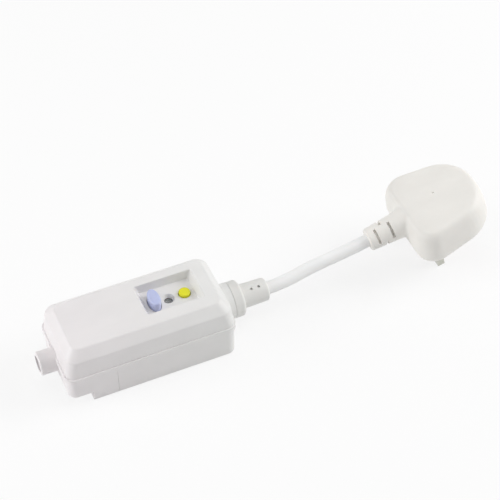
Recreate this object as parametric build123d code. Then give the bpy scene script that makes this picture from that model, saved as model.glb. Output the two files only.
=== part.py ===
from build123d import *
import math
import os

# In-line residual current device with a short flex and a moulded three-pin plug.
# Millimetres. The origin is the middle of the box's flat underside. +X runs from the
# cable outlet to the plug, +Z is up, and -Y is the side with the terminal cover's seam in view.

# Casing
rim_length = 92.4
rim_width = 44.0
rim_height = 3.4
rim_proud = 0.9
rim_edge = 0.35
parting_height = 21.0
cover_height = 15.8
shoulder_drop = 4.95
shoulder_run_end = 4.4
shoulder_run_side = 5.0
cover_inset = 0.9
cover_end_draft = 1.1
cover_side_draft = 0.25
corner_radius = 5.5
shoulder_corner_radius = 6.2
top_corner_radius = 4.0
shoulder_fillet = 1.6
foot_fillet = 0.8
wall = 2.0
lip_height = 1.6
lip_thickness = 1.0
overrun = 3.0
fit_gap = 0.15
running_gap = 0.3

# Terminal cover at the outlet end of the base
seam_x = -19.5
step_x = -33.2
raised_underside = 6.7
seam_gap = 0.12
seam_notch_radius = 0.35
partition = 1.6

# Cable outlet spout and supply inlet, both on one axis
cable_axis_height = 15.8
spout_radius = 6.25
spout_bore_radius = 4.3
spout_length = 9.2
spout_lip_fillet = 1.0
boss_radius = 9.9
boss_length = 4.9

# Control tray sunk in the top
tray_left = 2.1
tray_length = 31.0
tray_width = 19.7
tray_depth = 5.3
tray_corner = 0.9
tray_edge = 0.5
tray_left_draft = 2.2
tray_right_draft = 2.0
tray_draft = 0.8
tray_floor = 2.0
control_y = 1.2

# Supply flex and its moulded strain relief at the box
flex_radius = 3.5
relief_gap = 0.2
relief_flange_radius = 9.8
relief_flange_length = 5.6
relief_flange_fillet = 1.5
relief_sleeve_radius = 6.55
relief_tip_radius = 6.25
relief_sleeve_length = 15.0
relief_tip_fillet = 1.3
relief_neck_radius = 6.4
relief_inner_flange_radius = 8.4
relief_inner_flange_length = 1.5
vent_radius = 0.7
vent_depth = 2.0
vent_angle = 72.0
vent_first = 5.8
vent_pitch = 4.1
vent_count = 2

# Reset button
reset_x = 9.4
reset_width = 6.2
reset_span = 11.6
reset_proud = 5.3
reset_travel = 2.5
reset_dish_width = 3.0
reset_dish_span = 6.6
reset_dish_depth = 0.25
reset_edge = 1.0
button_gap = 0.3
ear_thickness = 1.4
ear_reach = 1.5
ear_width = 4.0
reset_stem_radius = 1.9

# Test button
test_x = 25.9
test_radius = 3.0
test_proud = 1.5
test_travel = 1.5
test_edge = 0.5
test_flange_reach = 1.1
test_stem_radius = 1.3
test_tip_radius = 1.0
test_tip_height = 0.8
rivet_head = 0.7
rivet_tail = 0.3

# Indicator
well_x = 17.1
well_top_radius = 3.2
well_floor_radius = 2.2
window_radius = 2.9
window_thickness = 1.0
flag_width = 4.4
flag_half_length = 5.2
flag_thickness = 1.0
flag_travel = 5.0
flag_keel_width = 1.2
flag_keel_depth = 1.0
flag_drop = 2.8
patch_thickness = 0.2
patch_margin = 0.3
rail_width = 3.4
rail_depth = 1.8

# Mechanism frame
frame_plate_bottom = 20.4
frame_plate = 1.6
frame_left = 0.5
frame_right = 31.5
frame_side_gap = 0.3
frame_leg = 2.2
frame_hole_gap = 0.3

# Contacts
contact_spacing_x = 13.6
contact_side_gap = 0.3
post_side = 4.0
post_height = 7.0
tip_radius = 1.5
tip_height = 0.8
bridge_length = 17.0
bridge_width = 3.6
bridge_thickness = 1.0
contact_left_open = 0.1
carrier_length = 8.0
carrier_span = 22.0
carrier_height = 5.0
carrier_drive_gap = 0.3
guide_thickness = 1.6
guide_span = 9.0
guide_height = 17.0

# Coil springs
spring_wire = 0.6
reset_spring_radius = 3.0
test_spring_radius = 2.3
carrier_spring_radius = 2.4
plunger_spring_radius = 2.0
reset_spring_turns = 3.5
test_spring_turns = 3.5
carrier_spring_turns = 5.5
plunger_spring_turns = 2.5

# Trip solenoid and latch
solenoid_x = -9.5
bobbin_flange_radius = 5.5
bobbin_flange = 1.0
bobbin_core_radius = 2.8
bobbin_height = 11.0
bobbin_base = 5.0
winding_radius = 5.0
yoke_thickness = 1.2
yoke_width = 8.0
yoke_side_gap = 0.5
plunger_radius = 1.2
plunger_clearance = 0.06
plunger_head_radius = 2.2
plunger_head = 1.0
plunger_bottom = 6.8
plunger_spring_length = 3.4
latch_pivot_x = -3.2
latch_arm_width = 5.0
latch_arm_thickness = 1.2
latch_arm_end = 1.0
latch_fork_width = 3.0
latch_pin_radius = 0.8
latch_pin_gap = 0.05
latch_hub_radius = 1.8
latch_lift_gap = 0.3
latch_nose = 3.0
bracket_thickness = 1.2

# Circuit board and what it carries
board_left = 19.4
board_right = 36.0
board_side_gap = 1.9
board_height = 4.2
board_thickness = 1.6
pillar_radius = 2.0
pillar_inset = 2.6
core_outer_radius = 6.2
core_inner_radius = 4.7
core_width = 4.0
core_x = 24.6
core_wrap = 0.7
resistor_radius = 1.6
resistor_length = 6.0
resistor_x = 23.6
resistor_inset = 2.8
lead_radius = 0.4
lead_reach = 1.0
varistor_radius = 4.0
varistor_thickness = 3.0
varistor_x = 22.9
varistor_inset = 4.4
capacitor_radius = 2.0
capacitor_height = 8.0
capacitor_x = 24.6
capacitor_inset = 7.0
chip_length = 9.0
chip_width = 3.4
chip_height = 3.0
chip_x = 33.9
chip_y = -3.0
diode_y = 6.2
diode_radius = 1.1
diode_length = 3.6
diode_pitch = 3.4

# Terminals and cord clamps
terminal_side = 7.0
terminal_height = 7.8
terminal_x = -26.0
terminal_side_gap = 3.4
shelf_thickness = 1.9
shelf_reach = 13.5
busbar_width = 3.0
busbar_thickness = 0.8
terminal_bore_radius = 1.7
screw_radius = 1.5
screw_head_radius = 2.6
screw_head = 1.6
screw_slot = 0.6
screw_slot_depth = 0.7
screw_gap = 0.1
clamp_length = 5.0
clamp_thickness = 2.4
clamp_half_span = 9.5
clamp_screw_y = 7.0
clamp_screw_length = 8.0
inlet_clamp_x = 38.6
outlet_clamp_x = -38.5
outlet_flex_radius = 3.7
outlet_bridge = 1.0
clamp_post_radius = 2.6

# Casing screws
case_screw_x = 31.0
case_screw_left_x = -10.5
case_post_inset = 2.2
case_post_radius = 2.9
case_screw_length = 24.0
cover_screw_x = -38.5
cover_post_inset = 5.1
cover_screw_length = 12.5

# Conductors inside the sheath
conductor_radius = 1.2
conductor_spread = 1.4
conductor_bend = 1.6
conductor_gap = 0.3
conductor_lead = 4.0

# Plug, in its own frame: u towards the earth pin, v across, w out of the back
pin_face_x = 177.9
pin_face_y = 3.3
pin_pitch = 22.23
live_pin_thickness = 4.0
live_pin_width = 6.35
live_pin_length = 17.7
earth_pin_thickness = 4.0
earth_pin_width = 7.95
earth_pin_length = 22.73
pin_chamfer = 0.6
pin_inside = 7.5
sleeve_length = 9.0
sleeve_wall = 0.45
plug_cord_side = 24.0
plug_earth_side = 23.1
plug_cord_half_width = 28.0
plug_earth_half_width = 20.6
plug_cord_corner = 10.0
plug_earth_corner = 19.5
plug_depth = 22.5
plug_widest = 7.0
plug_face_inset = 3.0
plug_back_inset = 0.8
plug_back_fillet = 7.0
plug_face_fillet = 3.0
plug_wall = 7.0
plug_pocket_depth = 17.5
plug_neck_radius = 8.2
plug_neck_length = 4.2
plug_neck_depth = 6.5
plug_dimple_radius = 0.7
plug_dimple_depth = 0.4
plug_dimple_u = -1.9
plug_dimple_v = 2.0
bridge_plate = 3.2
bridge_groove = 0.3
plug_relief_axis = 14.1
plug_relief_radius = 7.2
plug_relief_tip_radius = 6.2
plug_relief_length = 15.8
plug_relief_core = 4.7
plug_relief_tip_fillet = 1.4
plug_slot_width = 1.5
plug_slot_first = 4.8
plug_slot_pitch = 4.1
plug_slot_count = 3
plug_slot_web = 0.7
fuse_length = 25.4
fuse_radius = 3.175
fuse_cap_length = 6.0
fuse_cap_step = 0.15
fuse_u = -1.0
fuse_axis_depth = 5.2
fuse_carrier_length = 29.0
fuse_carrier_width = 8.4
fuse_carrier_plate = 1.6
fuse_cradle_wall = 1.0
fuse_cradle_length = 12.0
fuse_clip_thickness = 0.6
fuse_clip_width = 5.0
fuse_clip_rise = 6.0
neutral_rise = 2.05
pull_slot_length = 6.0
pull_slot_width = 1.2
pull_slot_depth = 0.8

# Places that follow from the sizes above
casing_height = parting_height + cover_height
shoulder_height = casing_height - shoulder_drop
rim_underside = parting_height - rim_height
rim_half_length = rim_length / 2
base_half_length = rim_half_length - rim_proud
base_half_width = rim_width / 2 - rim_proud
cover_half_length = rim_half_length - cover_inset
cover_half_width = rim_width / 2 - cover_inset
shoulder_half_length = cover_half_length - cover_end_draft
shoulder_half_width = cover_half_width - cover_side_draft
top_half_length = shoulder_half_length - shoulder_run_end
top_half_width = shoulder_half_width - shoulder_run_side
case_screw_y = base_half_width - wall - case_post_inset
cover_screw_y = base_half_width - wall - cover_post_inset
board_half_width = base_half_width - wall - board_side_gap
resistor_y = resistor_inset - board_half_width
varistor_y = board_half_width - varistor_inset
capacitor_y = capacitor_inset - board_half_width
frame_back = case_screw_y - case_post_radius - frame_side_gap
frame_front = -frame_back
contact_spacing_y = 2 * (frame_back - frame_leg - post_side / 2 - contact_side_gap - control_y)
terminal_pitch = base_half_width - wall - control_y - terminal_side / 2 - terminal_side_gap
tray_floor_top = casing_height - tray_depth
tray_underside = tray_floor_top - tray_floor
button_stop = tray_underside - running_gap
flag_height = tray_underside - flag_drop
boss_end_x = base_half_length + boss_length
relief_start_x = boss_end_x + relief_gap
relief_sleeve_x = relief_start_x + relief_flange_length
relief_end_x = relief_sleeve_x + relief_sleeve_length
inner_end_x = base_half_length - wall
spout_end_x = -base_half_length - spout_length
frame_plate_top = frame_plate_bottom + frame_plate
test_tip_bottom = frame_plate_top + rivet_head + contact_left_open + test_travel
board_top = board_height + board_thickness


def block(x0, x1, y0, y1, z0, z1):
    middle = Pos((x0 + x1) / 2, (y0 + y1) / 2, (z0 + z1) / 2)
    return middle * Box(abs(x1 - x0), abs(y1 - y0), abs(z1 - z0))


def rod_z(radius, x, y, z0, z1):
    return Pos(x, y, (z0 + z1) / 2) * Cylinder(radius, abs(z1 - z0))


def rod_x(radius, x0, x1, y, z):
    return Pos((x0 + x1) / 2, y, z) * Rot(0, 90, 0) * Cylinder(radius, abs(x1 - x0))


def rod_y(radius, x, y0, y1, z):
    return Pos(x, (y0 + y1) / 2, z) * Rot(90, 0, 0) * Cylinder(radius, abs(y1 - y0))


def rounded_prism(half_length, half_width, radius, z0, z1):
    outline = RectangleRounded(2 * half_length, 2 * half_width, radius)
    return Pos(0, 0, z0) * extrude(outline, z1 - z0)


def rounded_loft(low, high):
    """A ruled solid between two rounded rectangles: (x, half length, half width, radius, z)."""
    faces = []
    for x, half_length, half_width, radius, z in (low, high):
        outline = RectangleRounded(2 * half_length, 2 * half_width, radius)
        faces.append(Pos(x, 0, z) * outline)
    return loft(faces, ruled=True)


def slotted_screw(x, y, head_z, length, direction):
    """A cheese-head screw. The head's outer face is at head_z; direction is 1 when it drives up."""
    shank_start = head_z + direction * screw_head
    head = rod_z(screw_head_radius, x, y, head_z, shank_start)
    shank = rod_z(screw_radius, x, y, shank_start, head_z + direction * length)
    slot_floor = head_z + direction * screw_slot_depth
    slot = block(x - screw_head_radius, x + screw_head_radius, y - screw_slot / 2, y + screw_slot / 2,
                 head_z - direction * overrun, slot_floor)
    return head + shank - slot


def coil_spring(radius, turns, x, y, z0, z1):
    """An unbroken helix of round wire between two flat seats."""
    height = z1 - z0 - spring_wire
    pitch = height / turns
    print("coil spring gap between turns", round(pitch - spring_wire, 2))
    centre_line = Helix(pitch=pitch, height=height, radius=radius)
    start = Plane(origin=centre_line @ 0, z_dir=centre_line % 0)
    wire = sweep(start * Circle(spring_wire / 2), path=centre_line, is_frenet=True)
    return Pos(x, y, z0 + spring_wire / 2) * wire


# Places shared by the base and what it carries

contact_rows = [control_y + side * contact_spacing_y / 2 for side in (-1, 1)]
contact_columns = [reset_x + side * contact_spacing_x / 2 for side in (-1, 1)]
earth_drop_x = (seam_x + terminal_x + terminal_side / 2) / 2
busbar_height = parting_height - shelf_thickness - terminal_height / 2


# Base of the casing


def base_outside():
    body = rounded_prism(base_half_length, base_half_width, corner_radius - rim_proud, 0, parting_height)
    body = fillet(body.faces().sort_by(Axis.Z)[0].edges(), foot_fillet)
    rim = rounded_prism(rim_half_length, rim_width / 2, corner_radius, rim_underside, parting_height)
    rim = fillet(rim.faces().sort_by(Axis.Z)[0].edges(), rim_edge)
    rim = fillet(rim.faces().sort_by(Axis.Z)[-1].edges(), rim_edge)
    return body + rim


def base_inside():
    return rounded_prism(base_half_length - wall, base_half_width - wall,
                         corner_radius - rim_proud - wall / 2, wall, parting_height + overrun)


def spout_outside():
    tube = rod_x(spout_radius, spout_end_x, -base_half_length + wall / 2, 0, cable_axis_height)
    return fillet(tube.faces().sort_by(Axis.X)[0].edges(), spout_lip_fillet)


def spout_bore():
    return rod_x(spout_bore_radius, spout_end_x - overrun, -base_half_length + wall + overrun,
                 0, cable_axis_height)


def inlet_boss():
    return rod_x(boss_radius, inner_end_x, boss_end_x, 0, cable_axis_height)


def inlet_bore():
    return rod_x(relief_neck_radius + fit_gap, inner_end_x - overrun, boss_end_x + overrun,
                 0, cable_axis_height)


def terminal_zone(gap):
    """The space of the terminal cover: up to the spout's axis, and beside the spout up to the rim."""
    low = block(-rim_length, seam_x - gap, -rim_width, rim_width, -overrun, cable_axis_height - gap)
    sides = block(-rim_length, seam_x - gap, -rim_width, rim_width, 0, rim_underside - gap)
    spout_strip = spout_radius + wall + gap
    return low + sides - block(-rim_length, 0, -spout_strip, spout_strip,
                               cable_axis_height - gap, casing_height)


def seam_notches():
    """A small nick for a blade at each end of the terminal cover's side seams."""
    nicks = []
    for side in (-1, 1):
        y = side * base_half_width
        for z in (0, rim_underside - seam_notch_radius):
            nicks.append(rod_y(seam_notch_radius, seam_x - seam_gap / 2, y - seam_notch_radius,
                               y + seam_notch_radius, z))
    return nicks


def screw_bore(x, y, head_z, top):
    """A hole for a screw from below, with a pocket that takes the head."""
    pocket = rod_z(screw_head_radius + button_gap, x, y, -overrun, head_z + screw_head)
    return pocket + rod_z(screw_radius + screw_gap, x, y, head_z, top)


case_screw_head_z = wall
case_screw_places = [(x, side * case_screw_y)
                     for x in (case_screw_left_x, case_screw_x) for side in (-1, 1)]
cover_screw_head_z = raised_underside + screw_head / 2
cover_screw_places = [(cover_screw_x, side * cover_screw_y) for side in (-1, 1)]


def carrier_guides():
    guides = []
    for side in (-1, 1):
        near = reset_x + side * (carrier_length / 2 + running_gap)
        far = near + side * guide_thickness
        guides.append(block(near, far, control_y - guide_span / 2, control_y + guide_span / 2,
                            wall / 2, guide_height))
    return guides


board_pillar_places = [(board_left + pillar_inset, side * (board_half_width - pillar_inset))
                       for side in (-1, 1)]


def lip_clearances():
    """Gaps in the locating lip for the cover's screw posts and for the strain relief's inner flange."""
    cuts = rod_x(relief_inner_flange_radius + running_gap, inner_end_x - overrun, inner_end_x,
                 0, cable_axis_height)
    boss_room = rod_x(boss_radius + running_gap, inner_end_x - overrun, inner_end_x + overrun,
                      0, cable_axis_height)
    cuts += boss_room & block(0, rim_length, -rim_width, rim_width, parting_height,
                              parting_height + overrun)
    for x, y in case_screw_places:
        cuts += rod_z(case_post_radius + running_gap, x, y, parting_height, parting_height + overrun)
    return cuts


def terminal_shelf():
    """The shelf that the terminals hang from, and the bosses over the outlet clamp and cover screws."""
    z0 = parting_height - shelf_thickness
    shelf = block(seam_x - shelf_reach, seam_x + partition, -base_half_width + wall / 2,
                  base_half_width - wall / 2, z0, parting_height)
    bridge = block(outlet_clamp_x - clamp_length / 2, outlet_clamp_x + clamp_length / 2,
                   -base_half_width + wall / 2, base_half_width - wall / 2,
                   parting_height - outlet_bridge, parting_height)
    body = shelf + bridge
    for side in (-1, 1):
        body += rod_z(clamp_post_radius, outlet_clamp_x, side * clamp_screw_y,
                      cable_axis_height, parting_height - outlet_bridge / 2)
    for x, y in cover_screw_places:
        body += rod_z(case_post_radius, x, y, cable_axis_height, parting_height - outlet_bridge / 2)
    return body


def earth_drop():
    """The hole in the shelf that the earth conductor comes down through."""
    return rod_z(conductor_radius + conductor_gap, earth_drop_x, control_y,
                 parting_height - shelf_thickness - overrun, parting_height + overrun)


def busbar_pass(y):
    """The slot in the partition that a busbar goes through."""
    return block(seam_x - overrun, seam_x + partition + overrun,
                 y - busbar_width / 2 - fit_gap, y + busbar_width / 2 + fit_gap,
                 busbar_height - fit_gap, busbar_height + busbar_thickness + fit_gap)


def inlet_saddle():
    """Two posts and a cradle that hold the sheath under the inlet clamp."""
    cradle = block(inlet_clamp_x - clamp_length / 2, inlet_clamp_x + clamp_length / 2,
                   -clamp_half_span, clamp_half_span, wall / 2, cable_axis_height)
    trough = rod_x(flex_radius + fit_gap, inlet_clamp_x - clamp_length, inlet_clamp_x + clamp_length,
                   0, cable_axis_height)
    return cradle - trough


def base_tray():
    shell = base_outside() - base_inside()
    lip_half_length = cover_half_length - wall - fit_gap
    lip_half_width = cover_half_width - wall - fit_gap
    lip_bottom = parting_height - lip_height
    lip_top = parting_height + lip_height
    lip = rounded_prism(lip_half_length, lip_half_width, corner_radius - wall, lip_bottom, lip_top)
    lip -= rounded_prism(lip_half_length - lip_thickness, lip_half_width - lip_thickness,
                         corner_radius - wall - lip_thickness, lip_bottom - overrun, lip_top + overrun)
    lip_root = rounded_prism(base_half_length - wall / 2, base_half_width - wall / 2,
                             corner_radius - rim_proud, lip_bottom, parting_height)
    lip_root -= rounded_prism(lip_half_length - lip_thickness, lip_half_width - lip_thickness,
                              corner_radius - wall - lip_thickness, lip_bottom - overrun,
                              parting_height + overrun)
    body = shell + lip + lip_root
    body -= terminal_zone(0)
    body -= lip_clearances()
    body += block(seam_x, seam_x + partition, -base_half_width + wall / 2, base_half_width - wall / 2,
                  wall / 2, parting_height)
    body += spout_outside() & block(2 * spout_end_x, 0, -rim_width, rim_width,
                                    cable_axis_height, casing_height)
    body += inlet_boss() & block(0, rim_length, -rim_width, rim_width, 0, parting_height)
    body += terminal_shelf()
    for x, y in case_screw_places:
        body += rod_z(case_post_radius, x, y, wall / 2, parting_height)
    for guide in carrier_guides():
        body += guide
    for x, y in board_pillar_places:
        body += rod_z(pillar_radius, x, y, wall / 2, board_height)
    for side in (-1, 1):
        body += block(board_right - pillar_inset, board_right, side * (board_half_width - pillar_inset),
                      side * board_half_width, wall / 2, board_height)
    body += inlet_saddle()
    body += rod_z(carrier_spring_radius - spring_wire / 2 - running_gap, reset_x, control_y,
                  wall / 2, wall + screw_head_radius)
    body -= spout_bore()
    body -= inlet_bore()
    for x, y in case_screw_places:
        body -= screw_bore(x, y, case_screw_head_z, parting_height + overrun)
    for side in (-1, 1):
        body -= rod_z(screw_radius + screw_gap, inlet_clamp_x, side * clamp_screw_y,
                      wall + overrun, parting_height)
        body -= rod_z(screw_radius + screw_gap, outlet_clamp_x, side * clamp_screw_y, 0,
                      parting_height - outlet_bridge)
    for x, y in cover_screw_places:
        body -= rod_z(screw_radius + screw_gap, x, y, 0,
                      cover_screw_head_z + cover_screw_length + fit_gap)
    body -= earth_drop()
    for y in contact_rows:
        body -= busbar_pass(y)
    body -= rod_x(spout_radius + fit_gap, -inner_end_x, -inner_end_x + overrun, 0, cable_axis_height)
    for nick in seam_notches():
        body -= nick
    return body


def terminal_cover():
    outside = base_outside() & terminal_zone(seam_gap)
    outside -= block(-rim_length, step_x, -rim_width, rim_width, -overrun, raised_underside)
    inside = base_inside() - block(-rim_length, step_x + wall, -rim_width, rim_width,
                                   -overrun, raised_underside + wall)
    body = outside - inside
    body += spout_outside() & block(2 * spout_end_x, 0, -rim_width, rim_width, 0,
                                    cable_axis_height - seam_gap / 2)
    for x, y in cover_screw_places:
        body += rod_z(case_post_radius, x, y, raised_underside + wall / 2, cable_axis_height - seam_gap)
    body -= spout_bore()
    for x, y in cover_screw_places:
        body -= screw_bore(x, y, cover_screw_head_z, cable_axis_height + overrun)
    for nick in seam_notches():
        body -= nick
    return body


# Upper cover


def tray_cut():
    floor_length = tray_length - tray_left_draft - tray_right_draft
    floor_left = tray_left + tray_left_draft
    low = (floor_left + floor_length / 2, floor_length / 2, tray_width / 2 - tray_draft,
           tray_corner, tray_floor_top)
    rise = overrun / tray_depth
    top_left_x = tray_left - tray_left_draft * rise
    top_right_x = tray_left + tray_length + tray_right_draft * rise
    high = ((top_left_x + top_right_x) / 2, (top_right_x - top_left_x) / 2,
            tray_width / 2 + tray_draft * rise, tray_corner, casing_height + overrun)
    return Pos(0, control_y, 0) * rounded_loft(low, high)


def tray_backing():
    return block(tray_left - wall / 2, tray_left + tray_length + wall / 2,
                 control_y - tray_width / 2 - wall / 2, control_y + tray_width / 2 + wall / 2,
                 tray_underside, casing_height - wall / 2)


def cover_outside():
    foot = (0, cover_half_length, cover_half_width, corner_radius - cover_inset, parting_height)
    shoulder = (0, shoulder_half_length, shoulder_half_width, shoulder_corner_radius, shoulder_height)
    head = (0, top_half_length, top_half_width, top_corner_radius, casing_height)
    body = rounded_loft(foot, shoulder) + rounded_loft(shoulder, head)
    ridge = body.edges().filter_by(lambda e: abs(e.center().Z - shoulder_height) < fit_gap)
    rim = body.edges().filter_by(lambda e: abs(e.center().Z - casing_height) < fit_gap)
    return fillet(ridge + rim, shoulder_fillet)


def cover_inside():
    low = (0, cover_half_length - wall, cover_half_width - wall, corner_radius - wall, parting_height)
    middle = (0, shoulder_half_length - wall, shoulder_half_width - wall,
              shoulder_corner_radius - wall, shoulder_height - wall / 2)
    high = (0, top_half_length - wall / 2, top_half_width - wall / 2, top_corner_radius - wall / 2,
            casing_height - wall)
    return rounded_loft(low, middle) + rounded_loft(middle, high)


def top_cover():
    body = cover_outside() - cover_inside()
    body += tray_backing() & cover_outside()
    body += inlet_boss() & block(base_half_length - wall, rim_length, -rim_width, rim_width,
                                 parting_height, casing_height)
    for x, y in case_screw_places:
        post = rod_z(case_post_radius, x, y, parting_height, shoulder_height + wall / 2)
        body += post & cover_outside()
    body -= tray_cut()
    mouth = body.edges().filter_by(lambda e: abs(e.center().Z - casing_height) < fit_gap
                                   and abs(e.center().Y - control_y) < tray_width / 2 + tray_edge
                                   and abs(e.center().X - tray_left - tray_length / 2) < tray_length / 2
                                   + tray_edge)
    body = fillet(mouth, tray_edge)
    reset_hole = Ellipse(reset_width / 2 + button_gap, reset_span / 2 + button_gap)
    hole_place = Pos(reset_x, control_y, tray_underside - overrun)
    body -= hole_place * extrude(reset_hole, tray_floor + 2 * overrun)
    body -= rod_z(test_radius + button_gap, test_x, control_y, tray_underside - overrun,
                  tray_floor_top + overrun)
    well = Pos(well_x, control_y, (tray_underside + tray_floor_top) / 2)
    body -= well * Cone(well_floor_radius, well_top_radius, tray_floor)
    body -= inlet_bore()
    body -= rod_x(spout_radius + fit_gap, -rim_length, -inner_end_x + overrun, 0, cable_axis_height)
    for x, y in case_screw_places:
        body -= rod_z(screw_radius, x, y, parting_height - overrun,
                      case_screw_head_z + case_screw_length + fit_gap)
    return body


def casing_screws():
    return [slotted_screw(x, y, case_screw_head_z, case_screw_length, 1) for x, y in case_screw_places]


def terminal_cover_screws():
    return [slotted_screw(x, y, cover_screw_head_z, cover_screw_length, 1) for x, y in cover_screw_places]


# Controls and indicator


def reset_button():
    body_height = reset_proud + tray_floor_top - tray_underside + running_gap + ear_thickness
    z0 = button_stop - ear_thickness
    outline = Ellipse(reset_width / 2, reset_span / 2)
    cap = Pos(reset_x, control_y, z0) * extrude(outline, body_height)
    cap = fillet(cap.faces().sort_by(Axis.Z)[-1].edges(), reset_edge)
    dish_outline = Ellipse(reset_dish_width / 2, reset_dish_span / 2)
    dish = Pos(reset_x, control_y, z0 + body_height - reset_dish_depth) * extrude(dish_outline, overrun)
    ears = block(reset_x - ear_width / 2, reset_x + ear_width / 2,
                 control_y - reset_span / 2 - ear_reach, control_y + reset_span / 2 + ear_reach,
                 z0, button_stop)
    stem = rod_z(reset_stem_radius, reset_x, control_y, carrier_top + carrier_drive_gap, z0 + wall / 2)
    return cap - dish + ears + stem


def test_button():
    z0 = button_stop - ear_thickness
    cap = rod_z(test_radius, test_x, control_y, z0, tray_floor_top + test_proud)
    cap = fillet(cap.faces().sort_by(Axis.Z)[-1].edges(), test_edge)
    flange = rod_z(test_radius + test_flange_reach, test_x, control_y, z0, button_stop)
    stem = rod_z(test_stem_radius, test_x, control_y, test_tip_bottom + test_tip_height, z0 + wall / 2)
    return cap + flange + stem


def test_contact_tip():
    return rod_z(test_tip_radius, test_x, control_y, test_tip_bottom, test_tip_bottom + test_tip_height)


def test_contact_rivet():
    head = rod_z(test_tip_radius + fit_gap, test_x, control_y, frame_plate_top,
                 frame_plate_top + rivet_head)
    shank = rod_z(test_tip_radius - fit_gap, test_x, control_y, frame_plate_bottom - rivet_tail,
                  frame_plate_top)
    return head + shank


def indicator_window():
    return rod_z(window_radius, well_x, control_y, tray_underside - window_thickness, tray_underside)


flag_front = control_y - flag_half_length / 2
flag_back = flag_front + 2 * flag_half_length


def indicator_flag():
    plate = block(well_x - flag_width / 2, well_x + flag_width / 2, flag_front, flag_back,
                  flag_height, flag_height + flag_thickness)
    keel = block(well_x - flag_keel_width / 2, well_x + flag_keel_width / 2, flag_front, flag_back,
                 flag_height - flag_keel_depth, flag_height)
    return plate + keel


def flag_patch():
    z0 = flag_height + flag_thickness
    return block(well_x - flag_width / 2 + patch_margin, well_x + flag_width / 2 - patch_margin,
                 flag_back - flag_half_length + patch_margin, flag_back - patch_margin,
                 z0, z0 + patch_thickness)


# Contacts and their carrier

contact_tip_top = wall + post_height + tip_height
bridge_bottom = contact_tip_top + contact_left_open + reset_travel + tip_height
carrier_bottom = bridge_bottom + bridge_thickness
carrier_top = carrier_bottom + carrier_height


def fixed_contact(x, y):
    post = block(x - post_side / 2, x + post_side / 2, y - post_side / 2, y + post_side / 2,
                 wall, wall + post_height)
    return post + rod_z(tip_radius, x, y, wall + post_height, contact_tip_top)


def fixed_contacts():
    return [fixed_contact(x, y) for x in contact_columns for y in contact_rows]


def load_busbar(y):
    """A strip from a fixed contact along the floor, up the partition and through it to a terminal."""
    riser_x = seam_x + partition + fit_gap
    y0 = y - busbar_width / 2
    y1 = y + busbar_width / 2
    low = block(riser_x, contact_columns[0] - post_side / 2, y0, y1, wall, wall + busbar_thickness)
    riser = block(riser_x, riser_x + busbar_thickness, y0, y1, wall, busbar_height + busbar_thickness)
    tongue = block(terminal_x + terminal_side / 2, riser_x + busbar_thickness, y0, y1,
                   busbar_height, busbar_height + busbar_thickness)
    return low + riser + tongue


def moving_contacts():
    bars = []
    for y in contact_rows:
        bar = block(reset_x - bridge_length / 2, reset_x + bridge_length / 2, y - bridge_width / 2,
                    y + bridge_width / 2, bridge_bottom, bridge_bottom + bridge_thickness)
        for x in contact_columns:
            bar += rod_z(tip_radius, x, y, bridge_bottom - tip_height, bridge_bottom)
        bars.append(bar)
    return bars


def contact_carrier():
    body = block(reset_x - carrier_length / 2, reset_x + carrier_length / 2,
                 control_y - carrier_span / 2, control_y + carrier_span / 2, carrier_bottom, carrier_top)
    cup = rod_z(carrier_spring_radius + spring_wire / 2 + running_gap, reset_x, control_y,
                carrier_bottom - overrun, carrier_bottom + wall)
    return body - cup


def mechanism_frame():
    """A plate over the contacts, on four legs, with the indicator's rail above it."""
    body = block(frame_left, frame_right, frame_front, frame_back, frame_plate_bottom, frame_plate_top)
    for x0 in (frame_left, frame_right - frame_leg):
        for y0 in (frame_front, frame_back - frame_leg):
            foot = board_top if x0 > board_left else wall
            body += block(x0, x0 + frame_leg, y0, y0 + frame_leg, foot, frame_plate_top)
    rail_top = flag_height - running_gap
    rail_front = flag_front - flag_travel - running_gap
    body += block(well_x - rail_width / 2, well_x + rail_width / 2, rail_front, flag_back + running_gap,
                  rail_top - rail_depth, rail_top)
    body += block(well_x - rail_width / 2, well_x + rail_width / 2, rail_front, rail_front + frame_leg,
                  frame_plate_top - frame_plate / 2, rail_top)
    body += block(well_x - rail_width / 2, well_x + rail_width / 2, flag_back - frame_leg,
                  flag_back + running_gap, frame_plate_top - frame_plate / 2, rail_top)
    groove_half = flag_keel_width / 2 + running_gap
    body -= block(well_x - groove_half, well_x + groove_half, rail_front - overrun, flag_back + overrun,
                  flag_height - flag_keel_depth - running_gap, flag_height + overrun)
    body -= rod_z(reset_stem_radius + frame_hole_gap, reset_x, control_y,
                  frame_plate_bottom - overrun, frame_plate_top + overrun)
    body -= rod_z(test_tip_radius - fit_gap, test_x, control_y,
                  frame_plate_bottom - overrun, frame_plate_top + overrun)
    return body


# Trip solenoid and latch

bobbin_top = bobbin_base + bobbin_height
bobbin_bore_radius = plunger_radius + plunger_clearance
latch_z = bobbin_top + yoke_thickness + plunger_spring_length + latch_arm_thickness / 2
plunger_top = latch_z + latch_arm_thickness / 2 + latch_lift_gap + plunger_head


def trip_bobbin():
    low = rod_z(bobbin_flange_radius, solenoid_x, control_y, bobbin_base, bobbin_base + bobbin_flange)
    high = rod_z(bobbin_flange_radius, solenoid_x, control_y, bobbin_top - bobbin_flange, bobbin_top)
    core = rod_z(bobbin_core_radius, solenoid_x, control_y, bobbin_base, bobbin_top)
    bore = rod_z(bobbin_bore_radius, solenoid_x, control_y, bobbin_base - overrun, bobbin_top + overrun)
    return low + high + core - bore


def trip_coil():
    z0 = bobbin_base + bobbin_flange
    z1 = bobbin_top - bobbin_flange
    return (rod_z(winding_radius, solenoid_x, control_y, z0, z1)
            - rod_z(bobbin_core_radius, solenoid_x, control_y, z0 - overrun, z1 + overrun))


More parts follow.
